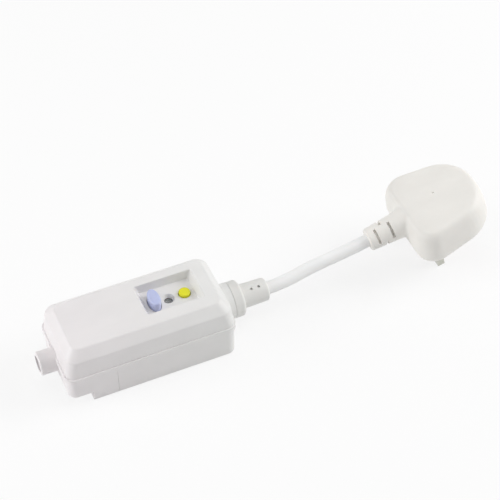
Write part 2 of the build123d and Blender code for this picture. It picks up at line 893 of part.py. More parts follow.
def trip_yoke():
    """A steel bracket round the bobbin, with two ears over it that carry the latch's pin."""
    half = bobbin_flange_radius + yoke_side_gap
    outer = block(solenoid_x - half - yoke_thickness, solenoid_x + half + yoke_thickness,
                  control_y - yoke_width / 2, control_y + yoke_width / 2,
                  bobbin_base - yoke_thickness, bobbin_top + yoke_thickness)
    inner = block(solenoid_x - half, solenoid_x + half, control_y - yoke_width, control_y + yoke_width,
                  bobbin_base, bobbin_top)
    hole = rod_z(bobbin_bore_radius, solenoid_x, control_y, bobbin_top - overrun, bobbin_top + 2 * overrun)
    foot = block(solenoid_x - half - yoke_thickness, solenoid_x - half, control_y - yoke_width / 2,
                 control_y + yoke_width / 2, wall, bobbin_base)
    other_foot = block(solenoid_x + half, solenoid_x + half + yoke_thickness, control_y - yoke_width / 2,
                       control_y + yoke_width / 2, wall, bobbin_base)
    body = outer - inner - hole + foot + other_foot
    for side in (-1, 1):
        near = control_y + side * (latch_arm_width / 2 + running_gap)
        body += block(latch_pivot_x - latch_hub_radius, latch_pivot_x + latch_hub_radius,
                      near, near + side * bracket_thickness, bobbin_top, latch_z + latch_hub_radius)
    return body - rod_y(latch_pin_radius, latch_pivot_x, control_y - overrun - latch_arm_width,
                        control_y + overrun + latch_arm_width, latch_z)


def trip_plunger():
    rod = rod_z(plunger_radius, solenoid_x, control_y, plunger_bottom, plunger_top)
    return rod + rod_z(plunger_head_radius, solenoid_x, control_y, plunger_top - plunger_head, plunger_top)


def latch_lever():
    """A rocking arm, forked round the plunger under its head, with a catch nose past the pivot."""
    arm_end = solenoid_x - plunger_head_radius - latch_arm_end
    arm = block(arm_end, latch_pivot_x, control_y - latch_arm_width / 2, control_y + latch_arm_width / 2,
                latch_z - latch_arm_thickness / 2, latch_z + latch_arm_thickness / 2)
    fork = block(arm_end - overrun, solenoid_x + plunger_head_radius, control_y - latch_fork_width / 2,
                 control_y + latch_fork_width / 2, latch_z - overrun, latch_z + overrun)
    hub = rod_y(latch_hub_radius, latch_pivot_x, control_y - latch_arm_width / 2,
                control_y + latch_arm_width / 2, latch_z)
    nose = block(latch_pivot_x, latch_pivot_x + latch_nose, control_y - latch_fork_width / 2,
                 control_y + latch_fork_width / 2, latch_z - latch_arm_thickness / 2,
                 latch_z + latch_arm_thickness / 2)
    bore = rod_y(latch_pin_radius + latch_pin_gap, latch_pivot_x, control_y - latch_arm_width,
                 control_y + latch_arm_width, latch_z)
    return arm - fork + hub + nose - bore


def latch_pin():
    reach = latch_arm_width / 2 + running_gap + bracket_thickness
    return rod_y(latch_pin_radius, latch_pivot_x, control_y - reach, control_y + reach, latch_z)


# Circuit board


def circuit_board():
    board = block(board_left, board_right, -board_half_width, board_half_width, board_height, board_top)
    for x, y in case_screw_places:
        board -= rod_z(case_post_radius + running_gap, x, y, 0, parting_height)
    return board


core_z = board_top + core_wrap + core_outer_radius + fit_gap


def sense_core():
    ring = rod_x(core_outer_radius, core_x - core_width / 2, core_x + core_width / 2, 0, core_z)
    return ring - rod_x(core_inner_radius, core_x - core_width, core_x + core_width, 0, core_z)


def sense_winding():
    half = core_width / 2 + core_wrap
    ring = rod_x(core_outer_radius + core_wrap, core_x - half, core_x + half, 0, core_z)
    ring -= rod_x(core_inner_radius - core_wrap, core_x - 2 * half, core_x + 2 * half, 0, core_z)
    return ring - sense_core()


def leaded_cylinder(radius, length, x, y):
    """An axial part lying along X on the board, with its two leads bent down."""
    z = board_top + radius + running_gap
    body = rod_x(radius, x - length / 2, x + length / 2, y, z)
    for side in (-1, 1):
        start = x + side * length / 2
        end = start + side * lead_reach
        body += rod_x(lead_radius, start - side * lead_radius, end, y, z)
        body += rod_z(lead_radius, end - side * lead_radius, y, board_top, z)
    return body


def test_resistor():
    return leaded_cylinder(resistor_radius, resistor_length, resistor_x, resistor_y)


def varistor():
    disc = rod_x(varistor_radius, varistor_x - varistor_thickness / 2, varistor_x + varistor_thickness / 2,
                 varistor_y, board_top + varistor_radius + running_gap)
    leg = rod_z(lead_radius, varistor_x, varistor_y, board_top, board_top + varistor_radius)
    return disc + leg


def capacitor():
    return rod_z(capacitor_radius, capacitor_x, capacitor_y, board_top, board_top + capacitor_height)


def control_chip():
    return block(chip_x - chip_width / 2, chip_x + chip_width / 2, chip_y - chip_length / 2,
                 chip_y + chip_length / 2, board_top, board_top + chip_height)


def rectifier_diodes():
    diodes = []
    for k in (-1, 1):
        diodes.append(rod_x(diode_radius, chip_x - diode_length / 2, chip_x + diode_length / 2,
                            diode_y + k * diode_pitch / 2, board_top + diode_radius))
    return diodes


# Terminals and clamps


terminal_top = parting_height - shelf_thickness
terminal_base = terminal_top - terminal_height
terminal_hole_z = terminal_base + terminal_height / 2
terminal_rows = [control_y + k * terminal_pitch for k in (-1, 0, 1)]


def terminal_block(y):
    """A brass block with a hole for the wire and one for its screw from below."""
    body = block(terminal_x - terminal_side / 2, terminal_x + terminal_side / 2, y - terminal_side / 2,
                 y + terminal_side / 2, terminal_base, terminal_top)
    wire_hole = rod_x(terminal_bore_radius, terminal_x - terminal_side, terminal_x + terminal_side, y,
                      terminal_hole_z)
    screw_hole = rod_z(screw_radius + screw_gap, terminal_x, y, terminal_base - overrun, terminal_hole_z)
    return body - wire_hole - screw_hole


def terminal_screws():
    head_z = terminal_base - screw_head - running_gap
    length = terminal_hole_z - terminal_bore_radius - head_z
    return [slotted_screw(terminal_x, y, head_z, length, 1) for y in terminal_rows]


def clamp_bar(x, sheath_radius, side):
    """A saddle bar on one side of the sheath; side is 1 above the cable's axis and -1 below it."""
    z0 = cable_axis_height + side * sheath_radius - clamp_thickness / 2
    bar = block(x - clamp_length / 2, x + clamp_length / 2, -clamp_half_span, clamp_half_span,
                z0, z0 + clamp_thickness)
    bar -= rod_x(sheath_radius + fit_gap, x - clamp_length, x + clamp_length, 0, cable_axis_height)
    for edge in (-1, 1):
        bar -= rod_z(screw_radius + screw_gap, x, edge * clamp_screw_y, z0 - overrun,
                     z0 + clamp_thickness + overrun)
    return bar


def clamp_screws(x, sheath_radius, side):
    head_z = cable_axis_height + side * (sheath_radius + clamp_thickness / 2 + screw_head)
    return [slotted_screw(x, edge * clamp_screw_y, head_z, clamp_screw_length, -side) for edge in (-1, 1)]


# Strain relief, sheath and free flex


def supply_strain_relief():
    flange = rod_x(relief_flange_radius, relief_start_x, relief_sleeve_x, 0, cable_axis_height)
    flange = fillet(flange.faces().sort_by(Axis.X)[-1].edges(), relief_flange_fillet)
    sleeve_place = Pos((relief_sleeve_x + relief_end_x) / 2, 0, cable_axis_height)
    sleeve = Cone(relief_sleeve_radius, relief_tip_radius, relief_sleeve_length)
    sleeve = sleeve_place * Rot(0, 90, 0) * sleeve
    sleeve = fillet(sleeve.faces().sort_by(Axis.X)[-1].edges(), relief_tip_fillet)
    neck = rod_x(relief_neck_radius, inner_end_x - relief_gap, relief_start_x, 0, cable_axis_height)
    inner_x = inner_end_x - relief_gap
    inner_flange = rod_x(relief_inner_flange_radius, inner_x - relief_inner_flange_length, inner_x,
                         0, cable_axis_height)
    body = flange + sleeve + neck + inner_flange
    body -= rod_x(flex_radius + screw_gap / 2, 0, relief_end_x + overrun, 0, cable_axis_height)
    for k in range(vent_count):
        x = relief_sleeve_x + vent_first + k * vent_pitch
        hole = Pos(x, 0, cable_axis_height) * Rot(90 - vent_angle, 0, 0)
        body -= hole * Pos(0, 0, relief_sleeve_radius) * Cylinder(vent_radius, 2 * vent_depth)
    return body


sheath_end_x = inlet_clamp_x - clamp_length / 2 - wall / 2


def conductor(points):
    centre_line = FilletPolyline(*points, radius=conductor_bend)
    start = Plane(origin=centre_line @ 0, z_dir=centre_line % 0)
    return sweep(start * Circle(conductor_radius), path=centre_line)


def supply_conductor(y_side, row):
    """From the sheath through the sense core to the fixed contact at the supply side."""
    z0 = cable_axis_height - conductor_spread
    drop_x = core_x - core_width / 2 - core_wrap - conductor_radius - conductor_gap / 2
    drop_x = min(drop_x, sheath_end_x)
    post_face = contact_columns[1] + post_side / 2
    landing = wall + post_height - conductor_radius
    return conductor([(sheath_end_x, y_side * conductor_spread, z0),
                      (drop_x, y_side * conductor_spread, z0),
                      (drop_x, row, landing),
                      (post_face, row, landing)])


def earth_conductor():
    """Over the mechanism frame and down through the shelf into the middle terminal."""
    z0 = cable_axis_height + conductor_spread
    rise_x = frame_right + conductor_radius + conductor_gap
    over_z = frame_plate_top + conductor_radius + conductor_gap
    side_y = frame_front + frame_leg
    return conductor([(sheath_end_x, 0, z0),
                      (rise_x, 0, z0),
                      (rise_x, side_y, over_z),
                      (earth_drop_x + terminal_side, side_y, over_z),
                      (earth_drop_x, control_y, over_z),
                      (earth_drop_x, control_y, terminal_hole_z),
                      (terminal_x + terminal_bore_radius, control_y, terminal_hole_z)])


def flex_sheath_tail():
    return rod_x(flex_radius, sheath_end_x, relief_end_x, 0, cable_axis_height)


# Plug

tip_lead = pin_pitch / 2 + live_pin_thickness / 2 - pin_chamfer
earth_lead = pin_pitch / 2 - earth_pin_width / 2 + pin_chamfer
plug_tilt = math.degrees(math.atan((earth_pin_length - live_pin_length) / (tip_lead + earth_lead)))
pin_face_z = (live_pin_length * math.cos(math.radians(plug_tilt))
              + tip_lead * math.sin(math.radians(plug_tilt)))
plug_place = Pos(pin_face_x, pin_face_y, pin_face_z) * Rot(0, -plug_tilt, 0)
print("plug tilt", round(plug_tilt, 3), "pin face height", round(pin_face_z, 3))


def plug_outline(inset):
    points = [(-plug_cord_side + inset, -plug_cord_half_width + inset),
              (plug_earth_side - inset, -plug_earth_half_width + inset),
              (plug_earth_side - inset, plug_earth_half_width - inset),
              (-plug_cord_side + inset, plug_cord_half_width - inset)]
    outline = make_face(Polyline(*points, close=True))
    cord_corners = outline.vertices().sort_by(Axis.X)[:2]
    outline = fillet(cord_corners, plug_cord_corner - inset / 2)
    earth_corners = [v for v in outline.vertices() if abs(v.X - (plug_earth_side - inset)) < fit_gap]
    return fillet(earth_corners, plug_earth_corner - inset)


relief_face_u = -plug_cord_side - plug_neck_length
plug_sheath_end = -plug_cord_side + plug_wall


def plug_body():
    low = loft([plug_outline(plug_face_inset), Pos(0, 0, plug_widest) * plug_outline(0)], ruled=True)
    high = loft([Pos(0, 0, plug_widest) * plug_outline(0),
                 Pos(0, 0, plug_depth) * plug_outline(plug_back_inset)], ruled=True)
    body = low + high
    body = fillet(body.faces().sort_by(Axis.Z)[-1].edges(), plug_back_fillet)
    body = fillet(body.faces().sort_by(Axis.Z)[0].edges(), plug_face_fillet)
    neck_back = -plug_cord_side + plug_neck_depth
    neck = Cone(plug_relief_radius, plug_neck_radius, neck_back - relief_face_u)
    body += Pos((relief_face_u + neck_back) / 2, 0, plug_relief_axis) * Rot(0, 90, 0) * neck
    body -= extrude(plug_outline(plug_wall), plug_pocket_depth)
    body -= rod_x(flex_radius + screw_gap / 2, relief_face_u - overrun, 0, 0, plug_relief_axis)
    return body - rod_z(plug_dimple_radius, plug_dimple_u, plug_dimple_v, plug_depth - plug_dimple_depth,
                        plug_depth + overrun)


def pin_places():
    half = pin_pitch / 2
    return {"line": (-half, -half), "neutral": (-half, half), "earth": (half, 0)}


def pin_solid(thickness_u, width_v, length, place):
    u, v = place
    pin = block(u - thickness_u / 2, u + thickness_u / 2, v - width_v / 2, v + width_v / 2,
                -length, pin_inside)
    return chamfer(pin.faces().sort_by(Axis.Z)[0].edges(), pin_chamfer)


def sleeve_ring(place, gap):
    u, v = place
    outer = block(u - live_pin_thickness / 2, u + live_pin_thickness / 2, v - live_pin_width / 2,
                  v + live_pin_width / 2, -sleeve_length, 0)
    inner = block(u - live_pin_thickness / 2 + sleeve_wall, u + live_pin_thickness / 2 - sleeve_wall,
                  v - live_pin_width / 2 + sleeve_wall, v + live_pin_width / 2 - sleeve_wall,
                  -sleeve_length - gap, gap)
    return outer - inner


def live_pin(place):
    pin = pin_solid(live_pin_thickness, live_pin_width, live_pin_length, place)
    return pin - sleeve_ring(place, overrun)


def earth_pin():
    return pin_solid(earth_pin_width, earth_pin_thickness, earth_pin_length, pin_places()["earth"])


def carrier_slot(gap):
    return block(fuse_u - fuse_carrier_width / 2 - gap, fuse_u + fuse_carrier_width / 2 + gap,
                 -fuse_carrier_length / 2 - gap, fuse_carrier_length / 2 + gap,
                 -overrun, bridge_plate + overrun)


def plug_pin_bridge():
    """The inner moulding that holds the pins, flush with the pin face."""
    plate = extrude(plug_outline(plug_wall + bridge_groove), bridge_plate)
    plate -= carrier_slot(running_gap)
    for name, (u, v) in pin_places().items():
        thickness = earth_pin_width if name == "earth" else live_pin_thickness
        width = earth_pin_thickness if name == "earth" else live_pin_width
        plate -= block(u - thickness / 2, u + thickness / 2, v - width / 2, v + width / 2,
                       -overrun, bridge_plate + overrun)
    return plate


def fuse_carrier():
    plate = block(fuse_u - fuse_carrier_width / 2, fuse_u + fuse_carrier_width / 2,
                  -fuse_carrier_length / 2, fuse_carrier_length / 2, 0, fuse_carrier_plate)
    cradle_half = min(fuse_radius + running_gap / 2 + fuse_cradle_wall, fuse_carrier_width / 2)
    cradle = block(fuse_u - cradle_half, fuse_u + cradle_half, -fuse_cradle_length / 2,
                   fuse_cradle_length / 2, fuse_carrier_plate, fuse_axis_depth)
    trough = rod_y(fuse_radius + running_gap / 2, fuse_u, -fuse_length, fuse_length, fuse_axis_depth)
    slot = block(fuse_u - pull_slot_width / 2, fuse_u + pull_slot_width / 2, -pull_slot_length / 2,
                 pull_slot_length / 2, -overrun, pull_slot_depth)
    return plate + cradle - trough - slot


def cartridge_fuse():
    barrel = rod_y(fuse_radius - fuse_cap_step, fuse_u, -fuse_length / 2, fuse_length / 2, fuse_axis_depth)
    for side in (-1, 1):
        end = side * fuse_length / 2
        barrel += rod_y(fuse_radius, fuse_u, end - side * fuse_cap_length, end, fuse_axis_depth)
    return barrel


def fuse_clips():
    clips = []
    for side in (-1, 1):
        near = side * (fuse_length / 2 + fit_gap)
        far = near + side * fuse_clip_thickness
        clips.append(block(fuse_u - fuse_clip_width / 2, fuse_u + fuse_clip_width / 2, near, far,
                           bridge_plate, fuse_axis_depth + fuse_clip_rise))
    pin_edge = -pin_pitch / 2 - live_pin_thickness / 2
    strap = block(pin_edge, fuse_u, -fuse_length / 2 - fit_gap - fuse_clip_thickness,
                  -fuse_length / 2 - fit_gap, pin_inside, pin_inside + 2 * fuse_clip_thickness)
    return [clips[0] + strap, clips[1]]


def plug_conductor(angle, route):
    """A core that leaves the sheath straight, at an angle about its axis, and then follows its route."""
    v = conductor_spread * math.cos(math.radians(angle))
    w = plug_relief_axis + conductor_spread * math.sin(math.radians(angle))
    lead = [(plug_sheath_end, v, w), (plug_sheath_end + conductor_lead, v, w)]
    return conductor(lead + route)


def plug_conductors():
    """Line to the fuse's far clip, neutral and earth to their pins."""
    half = pin_pitch / 2
    top = plug_pocket_depth - conductor_radius - conductor_gap
    clip_v = fuse_length / 2 + fit_gap + fuse_clip_thickness / 2
    line = plug_conductor(30, [(fuse_u, clip_v, top), (fuse_u, clip_v, fuse_axis_depth + fuse_clip_rise)])
    level = pin_inside + neutral_rise
    neutral = plug_conductor(270, [(-half, half, level), (-half, half, pin_inside)])
    earth = plug_conductor(150, [(fuse_u, -2 * conductor_spread, top), (half, 0, top),
                                 (half, 0, pin_inside)])
    return [line, neutral, earth]


def plug_strain_relief():
    """A tapered sleeve with slots in alternate quarters, so that it bends with the flex."""
    end_u = relief_face_u - plug_relief_length
    place = Pos((end_u + relief_face_u) / 2, 0, plug_relief_axis) * Rot(0, 90, 0)
    body = place * Cone(plug_relief_tip_radius, plug_relief_radius, plug_relief_length)
    body = fillet(body.faces().sort_by(Axis.X)[0].edges(), plug_relief_tip_fillet)
    core = rod_x(plug_relief_core, end_u - overrun, relief_face_u + overrun, 0, plug_relief_axis)
    reach = plug_relief_radius + overrun
    for k in range(plug_slot_count):
        u0 = end_u + plug_slot_first + k * plug_slot_pitch - plug_slot_width / 2
        turn = 90 * (k % 2)
        for quarter in (turn, turn + 180):
            corner = block(u0, u0 + plug_slot_width, -reach, -plug_slot_web / 2, plug_slot_web / 2, reach)
            cut = Pos(0, 0, plug_relief_axis) * Rot(quarter, 0, 0) * corner
            body -= cut - core
    return body - rod_x(flex_radius + screw_gap / 2, end_u - overrun, relief_face_u + overrun,
                        0, plug_relief_axis)


def plug_flex_tail():
    return rod_x(flex_radius, relief_face_u - plug_relief_length, plug_sheath_end, 0,
                 plug_relief_axis)


# Free flex between the two strain reliefs


def on_plug_axis(u):
    tilt = math.radians(plug_tilt)
    return (pin_face_x + u * math.cos(tilt) - plug_relief_axis * math.sin(tilt), pin_face_y,
            pin_face_z + u * math.sin(tilt) + plug_relief_axis * math.cos(tilt))


flex_end_u = relief_face_u - plug_relief_length
flex_lead_out = 9.9
flex_lead_in = 12.0
flex_route = [(relief_end_x, 0, cable_axis_height),
              (relief_end_x + flex_lead_out, 0, cable_axis_height),
              (99.0, 2.6, 18.0),
              on_plug_axis(flex_end_u - flex_lead_in),
              on_plug_axis(flex_end_u)]


def corner_radii(route):
    radii = []
    for before, here, after in zip(route, route[1:], route[2:]):
        run_in = Vector(*here) - Vector(*before)
        run_out = Vector(*after) - Vector(*here)
        half_turn = math.radians(run_in.get_angle(run_out)) / 2
        shorter_share = 0.45
        radii.append(shorter_share * min(run_in.length, run_out.length) / math.tan(half_turn))
    return radii


def supply_flex():
    radii = corner_radii(flex_route)
    centre_line = FilletPolyline(*flex_route, radius=radii)
    start = Plane(origin=centre_line @ 0, z_dir=centre_line % 0)
    tube = sweep(start * Circle(flex_radius), path=centre_line)
    straight = math.pi * flex_radius ** 2 * centre_line.length
    print("flex radii", [round(r, 1) for r in radii], "length", round(centre_line.length, 1),
          "volume", round(tube.volume), "of", round(straight))
    return tube


def in_plug(shape):
    if isinstance(shape, list):
        return [plug_place * one for one in shape]
    return plug_place * shape


nodes = {
    "base_tray": base_tray(),
    "top_cover": top_cover(),
    "terminal_cover": terminal_cover(),
    "casing_screws": casing_screws(),
    "terminal_cover_screws": terminal_cover_screws(),
    "reset_button": reset_button(),
    "test_button": test_button(),
    "test_contact_tip": test_contact_tip(),
    "test_contact_rivet": test_contact_rivet(),
    "indicator_window": indicator_window(),
    "indicator_flag": indicator_flag(),
    "flag_patch": flag_patch(),
    "fixed_contacts": fixed_contacts(),
    "moving_contacts": moving_contacts(),
    "line_busbar": load_busbar(contact_rows[0]),
    "neutral_busbar": load_busbar(contact_rows[1]),
    "reset_spring": coil_spring(reset_spring_radius, reset_spring_turns, reset_x, control_y,
                                frame_plate_top, button_stop - ear_thickness),
    "test_spring": coil_spring(test_spring_radius, test_spring_turns, test_x, control_y,
                               frame_plate_top, button_stop - ear_thickness),
    "carrier_spring": coil_spring(carrier_spring_radius, carrier_spring_turns, reset_x, control_y,
                                  wall, carrier_bottom + wall),
    "plunger_spring": coil_spring(plunger_spring_radius, plunger_spring_turns, solenoid_x, control_y,
                                  bobbin_top + yoke_thickness, latch_z - latch_arm_thickness / 2),
    "contact_carrier": contact_carrier(),
    "mechanism_frame": mechanism_frame(),
    "trip_bobbin": trip_bobbin(),
    "trip_coil": trip_coil(),
    "trip_yoke": trip_yoke(),
    "trip_plunger": trip_plunger(),
    "latch_lever": latch_lever(),
    "latch_pin": latch_pin(),
    "circuit_board": circuit_board(),
    "sense_core": sense_core(),
    "sense_winding": sense_winding(),
    "test_resistor": test_resistor(),
    "varistor": varistor(),
    "capacitor": capacitor(),
    "control_chip": control_chip(),
    "rectifier_diodes": rectifier_diodes(),
    "terminals": [terminal_block(y) for y in terminal_rows],
    "terminal_screws": terminal_screws(),
    "inlet_clamp_bar": clamp_bar(inlet_clamp_x, flex_radius, 1),
    "outlet_clamp_bar": clamp_bar(outlet_clamp_x, outlet_flex_radius, -1),
    "clamp_screws": clamp_screws(inlet_clamp_x, flex_radius, 1)
                    + clamp_screws(outlet_clamp_x, outlet_flex_radius, -1),
    "line_conductor": supply_conductor(-1, contact_rows[0]),
    "neutral_conductor": supply_conductor(1, contact_rows[1]),
    "earth_conductor": earth_conductor(),
    "supply_strain_relief": supply_strain_relief(),
    "flex_sheath_tail": flex_sheath_tail(),
    "supply_flex": supply_flex(),
    "plug_body": in_plug(plug_body()),
    "plug_pin_bridge": in_plug(plug_pin_bridge()),
    "line_pin": in_plug(live_pin(pin_places()["line"])),
    "neutral_pin": in_plug(live_pin(pin_places()["neutral"])),
    "earth_pin": in_plug(earth_pin()),
    "pin_sleeves": in_plug([sleeve_ring(pin_places()[n], 0) for n in ("line", "neutral")]),
    "fuse_carrier": in_plug(fuse_carrier()),
    "cartridge_fuse": in_plug(cartridge_fuse()),
    "fuse_clips": in_plug(fuse_clips()),
    "plug_conductors": in_plug(plug_conductors()),
    "plug_strain_relief": in_plug(plug_strain_relief()),
    "plug_flex_tail": in_plug(plug_flex_tail()),
}

os.makedirs("parts", exist_ok=True)
for node, shape in nodes.items():
    solids = shape if isinstance(shape, list) else [shape]
    group = Compound(label=node, children=[s for one in solids for s in one.solids()])
    export_step(group, f"parts/{node}.step")
print(len(nodes), "nodes")
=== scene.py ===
"""Looks of the in-line residual current device, its flex and its plug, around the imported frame."""
import math

import bmesh
import bpy
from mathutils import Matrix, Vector


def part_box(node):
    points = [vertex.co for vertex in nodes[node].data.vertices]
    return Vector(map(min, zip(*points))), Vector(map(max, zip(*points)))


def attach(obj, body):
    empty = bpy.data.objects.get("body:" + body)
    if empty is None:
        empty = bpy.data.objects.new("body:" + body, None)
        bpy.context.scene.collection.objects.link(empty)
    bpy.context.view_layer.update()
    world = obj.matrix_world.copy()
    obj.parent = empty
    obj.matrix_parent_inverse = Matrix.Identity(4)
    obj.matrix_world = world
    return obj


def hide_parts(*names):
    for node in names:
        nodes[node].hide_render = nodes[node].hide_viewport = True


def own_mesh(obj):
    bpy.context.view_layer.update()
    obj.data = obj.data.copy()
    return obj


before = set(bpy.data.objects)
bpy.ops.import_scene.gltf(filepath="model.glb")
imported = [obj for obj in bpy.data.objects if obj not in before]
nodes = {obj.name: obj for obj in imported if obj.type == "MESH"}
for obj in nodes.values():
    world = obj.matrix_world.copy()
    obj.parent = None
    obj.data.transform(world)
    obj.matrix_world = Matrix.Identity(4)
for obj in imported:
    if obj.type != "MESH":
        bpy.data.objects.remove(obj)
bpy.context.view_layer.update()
MM = 0.001


# Camera, lights and stage

CAMERA_PLACE = Vector((-0.1449, -0.4710, 0.6095))
CAMERA_TARGET = Vector((0.0728, 0.0249, 0.0200))
CAMERA_LENS_MM = 108.0
CAMERA_SENSOR_MM = 36.0
CAMERA_NEAREST = 0.01
CAMERA_FARTHEST = 20.0


def add_camera():
    data = bpy.data.cameras.new("camera")
    data.lens = CAMERA_LENS_MM
    data.sensor_width = CAMERA_SENSOR_MM
    data.sensor_fit = "HORIZONTAL"
    data.clip_start = CAMERA_NEAREST
    data.clip_end = CAMERA_FARTHEST
    camera = bpy.data.objects.new("camera", data)
    camera.location = CAMERA_PLACE
    camera.rotation_euler = (CAMERA_TARGET - CAMERA_PLACE).to_track_quat("-Z", "Y").to_euler()
    bpy.context.scene.collection.objects.link(camera)
    bpy.context.scene.camera = camera


# Each softbox as its place, the point that it faces, its side in metres and its watts.
softboxes = {
    "left": ((-1.0, 0.2, 0.45), (0.0, 0, 0.02), 0.7, 6.6),
    "right": ((1.2, -0.2, 0.8), (0.1, 0, 0.02), 0.8, 10.8),
    "top": ((0.05, 0.3, 1.8), (0.05, 0, 0.02), 1.2, 4.6),
}


def add_softbox(name, place, target, size, watts):
    data = bpy.data.lights.new(name, "AREA")
    data.shape = "SQUARE"
    data.size = size
    data.energy = watts
    light = bpy.data.objects.new(name, data)
    light.location = place
    light.rotation_euler = (Vector(target) - Vector(place)).to_track_quat("-Z", "Y").to_euler()
    bpy.context.scene.collection.objects.link(light)


AMBIENT = 0.38
WHITE = (1.0, 1.0, 1.0, 1.0)
FLOOR_HALF = 4.0
FLOOR_TONE = (0.93, 0.93, 0.93, 1.0)
FLOOR_ROUGHNESS = 0.9
FLOOR_WHITE_SHARE = 0.78


def seen_directly(tree):
    """1 for rays from the camera, and for those that shiny and clear things send to the background."""
    rays = tree.nodes.new("ShaderNodeLightPath")
    seen = rays.outputs["Is Camera Ray"]
    for kind in ("Is Glossy Ray", "Is Transmission Ray"):
        either = tree.nodes.new("ShaderNodeMath")
        either.operation = "MAXIMUM"
        tree.links.new(seen, either.inputs[0])
        tree.links.new(rays.outputs[kind], either.inputs[1])
        seen = either.outputs[0]
    return seen


def add_world():
    """Plain soft light all round; the camera and clear or shiny things see white."""
    world = bpy.data.worlds.new("studio")
    world.use_nodes = True
    tree = world.node_tree
    tree.nodes.clear()
    ambient = tree.nodes.new("ShaderNodeBackground")
    ambient.inputs["Color"].default_value = WHITE
    ambient.inputs["Strength"].default_value = AMBIENT
    white = tree.nodes.new("ShaderNodeBackground")
    white.inputs["Color"].default_value = WHITE
    white.inputs["Strength"].default_value = 1.0
    mix = tree.nodes.new("ShaderNodeMixShader")
    out = tree.nodes.new("ShaderNodeOutputWorld")
    tree.links.new(seen_directly(tree), mix.inputs["Fac"])
    tree.links.new(ambient.outputs[0], mix.inputs[1])
    tree.links.new(white.outputs[0], mix.inputs[2])
    tree.links.new(mix.outputs[0], out.inputs["Surface"])
    bpy.context.scene.world = world


def add_floor():
    mesh = bpy.data.meshes.new("floor")
    corners = [(-FLOOR_HALF, -FLOOR_HALF, 0), (FLOOR_HALF, -FLOOR_HALF, 0), (FLOOR_HALF, FLOOR_HALF, 0),
               (-FLOOR_HALF, FLOOR_HALF, 0)]
    mesh.from_pydata(corners, [], [(0, 1, 2, 3)])
    floor = bpy.data.objects.new("floor", mesh)
    bpy.context.scene.collection.objects.link(floor)
    material = bpy.data.materials.new("floor_white")
    material.use_nodes = True
    tree = material.node_tree
    shader = tree.nodes["Principled BSDF"]
    shader.inputs["Base Color"].default_value = FLOOR_TONE
    shader.inputs["Roughness"].default_value = FLOOR_ROUGHNESS
    shader.inputs["Specular IOR Level"].default_value = 0.0
    white = tree.nodes.new("ShaderNodeEmission")
    white.inputs["Strength"].default_value = 1.0
    share = tree.nodes.new("ShaderNodeMath")
    share.operation = "MULTIPLY"
    share.inputs[1].default_value = FLOOR_WHITE_SHARE
    tree.links.new(seen_directly(tree), share.inputs[0])
    mix = tree.nodes.new("ShaderNodeMixShader")
    tree.links.new(share.outputs[0], mix.inputs["Fac"])
    tree.links.new(shader.outputs["BSDF"], mix.inputs[1])
    tree.links.new(white.outputs["Emission"], mix.inputs[2])
    tree.links.new(mix.outputs["Shader"], tree.nodes["Material Output"].inputs["Surface"])
    mesh.materials.append(material)


# Materials. Sizes and depths of grain are in metres.

NOISE_MIDDLE = (0.3, 0.7)
CLOUD_SIZE = 0.018
FLOW_SIZE = 0.012
SHEEN_PATCH = 0.004
PLASTIC_UNEVEN = (-0.04, 0.05)
PLASTIC_IOR = 1.5
PLASTIC_SCATTER = (0.6, 0.5, 0.45)
PLASTIC_SCATTER_DEPTH = 0.001
COAT_ROUGHNESS = 0.2
METAL_UNEVEN = (-0.08, 0.1)
METAL_PATCH = 0.003
DRAWN_LINE_DEPTH = 0.000004
# Share of the wire's colour left in the grooves between its turns: painted shade.
WIRE_GROOVE_PAINTED_SHADE = 0.45
WIRE_METAL = 0.6
WIRE_ROUGHNESS = 0.3
CLEAR_SHARE = 0.88
CLEAR_IOR = 1.49
CLEAR_ROUGHNESS = (0.05, 0.10)
CLEAR_UNEVEN = 0.985


def add_node(tree, kind, **values):
    node = tree.nodes.new(kind)
    for key, value in values.items():
        node.inputs[key].default_value = value
    return node


def noise(tree, size, detail=2.0, stretch=(1, 1, 1)):
    """Noise in the object's own metres, with features of about that size."""
    coords = tree.nodes.new("ShaderNodeTexCoord")
    mapping = tree.nodes.new("ShaderNodeMapping")
    mapping.inputs["Scale"].default_value = stretch
    tree.links.new(coords.outputs["Object"], mapping.inputs["Vector"])
    node = add_node(tree, "ShaderNodeTexNoise", Scale=1 / size, Detail=detail)
    tree.links.new(mapping.outputs["Vector"], node.inputs["Vector"])
    return node.outputs["Fac"]


def ramp(tree, source, low, high, start=0.35, end=0.65):
    node = tree.nodes.new("ShaderNodeValToRGB")
    node.color_ramp.elements[0].position = start
    node.color_ramp.elements[1].position = end
    node.color_ramp.elements[0].color = (*low, 1)
    node.color_ramp.elements[1].color = (*high, 1)
    tree.links.new(source, node.inputs["Fac"])
    return node.outputs["Color"]


def spread(tree, source, low, high):
    node = add_node(tree, "ShaderNodeMapRange")
    node.inputs["From Min"].default_value = NOISE_MIDDLE[0]
    node.inputs["From Max"].default_value = NOISE_MIDDLE[1]
    node.inputs["To Min"].default_value = low
    node.inputs["To Max"].default_value = high
    tree.links.new(source, node.inputs["Value"])
    return node.outputs["Result"]


def bump(tree, heights, shader):
    """Chains bumps, each given as (height source, depth in metres)."""
    last = None
    for source, depth in heights:
        node = add_node(tree, "ShaderNodeBump", Strength=1.0, Distance=depth)
        tree.links.new(source, node.inputs["Height"])
        if last:
            tree.links.new(last, node.inputs["Normal"])
        last = node.outputs["Normal"]
    tree.links.new(last, shader.inputs["Normal"])


def material(name):
    made = bpy.data.materials.new(name)
    made.use_nodes = True
    return made, made.node_tree, made.node_tree.nodes["Principled BSDF"]


def scaled(colour, factor):
    return tuple(min(1.0, channel * factor) for channel in colour)


